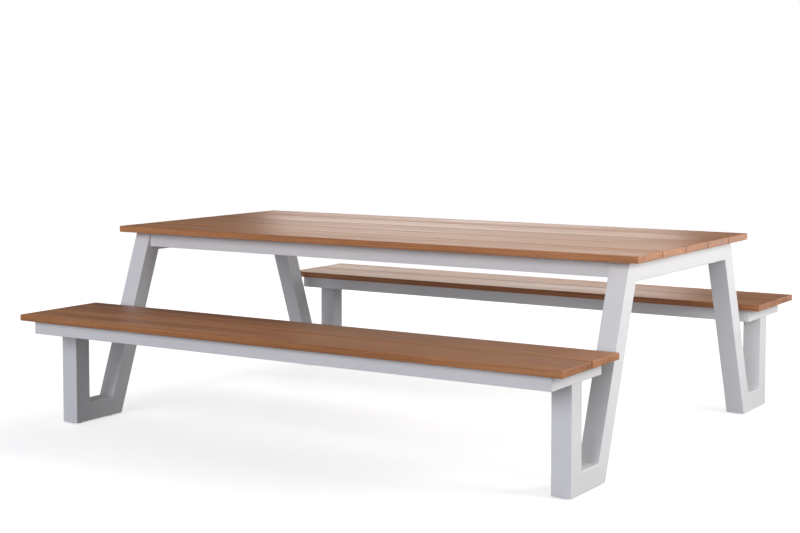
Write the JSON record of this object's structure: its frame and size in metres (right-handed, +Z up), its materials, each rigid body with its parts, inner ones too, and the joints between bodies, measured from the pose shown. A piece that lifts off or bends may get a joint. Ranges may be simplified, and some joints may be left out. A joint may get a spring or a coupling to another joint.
{
  "type": "picnic table",
  "caption": "Outdoor picnic table: hardwood plank top and two backless plank benches on one white steel frame with slanted legs and levelling feet.",
  "frame": {"origin": "on the ground, under the middle of the table", "axes": "+X along the table and the benches, +Y across them from the front bench to the rear bench, +Z up"},
  "size_m": [2.4, 2.25, 0.776],
  "materials": {
    "hardwood": "oiled reddish-brown hardwood, fine straight grain",
    "white_coating": "satin white powder coat on steel",
    "stainless_steel": "plain stainless fasteners",
    "foot_plastic": "black moulded plastic"
  },
  "bodies": {
    "table": {"bolt_washers": "stainless_steel", "foot_thread_inserts": "stainless_steel", "frame_bolts": "stainless_steel", "front_bench_cross_bar_1": "white_coating", "front_bench_cross_bar_2": "white_coating", "front_bench_end_rail_left": "white_coating", "front_bench_end_rail_right": "white_coating", "front_bench_side_rail_inner": "white_coating", "front_bench_side_rail_outer": "white_coating", "front_seat_plank_1": "hardwood", "front_seat_plank_2": "hardwood", "left_end_rail": "white_coating", "left_front_bench_post": "white_coating", "left_front_foot_rail": "white_coating", "left_front_slanted_leg": "white_coating", "left_rear_bench_post": "white_coating", "left_rear_foot_rail": "white_coating", "left_rear_slanted_leg": "white_coating", "plank_screws": "stainless_steel", "post_cap_plate_left_front": "white_coating", "post_cap_plate_left_rear": "white_coating", "post_cap_plate_right_front": "white_coating", "post_cap_plate_right_rear": "white_coating", "rear_bench_cross_bar_1": "white_coating", "rear_bench_cross_bar_2": "white_coating", "rear_bench_end_rail_left": "white_coating", "rear_bench_end_rail_right": "white_coating", "rear_bench_side_rail_inner": "white_coating", "rear_bench_side_rail_outer": "white_coating", "rear_seat_plank_1": "hardwood", "rear_seat_plank_2": "hardwood", "right_end_rail": "white_coating", "right_front_bench_post": "white_coating", "right_front_foot_rail": "white_coating", "right_front_slanted_leg": "white_coating", "right_rear_bench_post": "white_coating", "right_rear_foot_rail": "white_coating", "right_rear_slanted_leg": "white_coating", "table_corner_bracket_left_front": "white_coating", "table_corner_bracket_left_rear": "white_coating", "table_corner_bracket_right_front": "white_coating", "table_corner_bracket_right_rear": "white_coating", "table_cross_bar_1": "white_coating", "table_cross_bar_2": "white_coating", "table_cross_bar_3": "white_coating", "table_side_rail_front": "white_coating", "table_side_rail_rear": "white_coating", "tabletop_plank_1": "hardwood", "tabletop_plank_2": "hardwood", "tabletop_plank_3": "hardwood", "tabletop_plank_4": "hardwood", "tabletop_plank_5": "hardwood"},
    "foot_left_front_leg": {"levelling_foot_left_front_leg": "foot_plastic"},
    "foot_left_front_post": {"levelling_foot_left_front_post": "foot_plastic"},
    "foot_left_rear_leg": {"levelling_foot_left_rear_leg": "foot_plastic"},
    "foot_left_rear_post": {"levelling_foot_left_rear_post": "foot_plastic"},
    "foot_right_front_leg": {"levelling_foot_right_front_leg": "foot_plastic"},
    "foot_right_front_post": {"levelling_foot_right_front_post": "foot_plastic"},
    "foot_right_rear_leg": {"levelling_foot_right_rear_leg": "foot_plastic"},
    "foot_right_rear_post": {"levelling_foot_right_rear_post": "foot_plastic"}
  },
  "joints": [
    {"name": "adjust_left_front_leg", "type": "slide", "parent": "table", "child": "foot_left_front_leg", "axis": [0, 0, -1], "range_m": [0, 0.01]},
    {"name": "adjust_left_front_post", "type": "slide", "parent": "table", "child": "foot_left_front_post", "axis": [0, 0, -1], "range_m": [0, 0.01]},
    {"name": "adjust_left_rear_leg", "type": "slide", "parent": "table", "child": "foot_left_rear_leg", "axis": [0, 0, -1], "range_m": [0, 0.01]},
    {"name": "adjust_left_rear_post", "type": "slide", "parent": "table", "child": "foot_left_rear_post", "axis": [0, 0, -1], "range_m": [0, 0.01]},
    {"name": "adjust_right_front_leg", "type": "slide", "parent": "table", "child": "foot_right_front_leg", "axis": [0, 0, -1], "range_m": [0, 0.01]},
    {"name": "adjust_right_front_post", "type": "slide", "parent": "table", "child": "foot_right_front_post", "axis": [0, 0, -1], "range_m": [0, 0.01]},
    {"name": "adjust_right_rear_leg", "type": "slide", "parent": "table", "child": "foot_right_rear_leg", "axis": [0, 0, -1], "range_m": [0, 0.01]},
    {"name": "adjust_right_rear_post", "type": "slide", "parent": "table", "child": "foot_right_rear_post", "axis": [0, 0, -1], "range_m": [0, 0.01]}
  ]
}
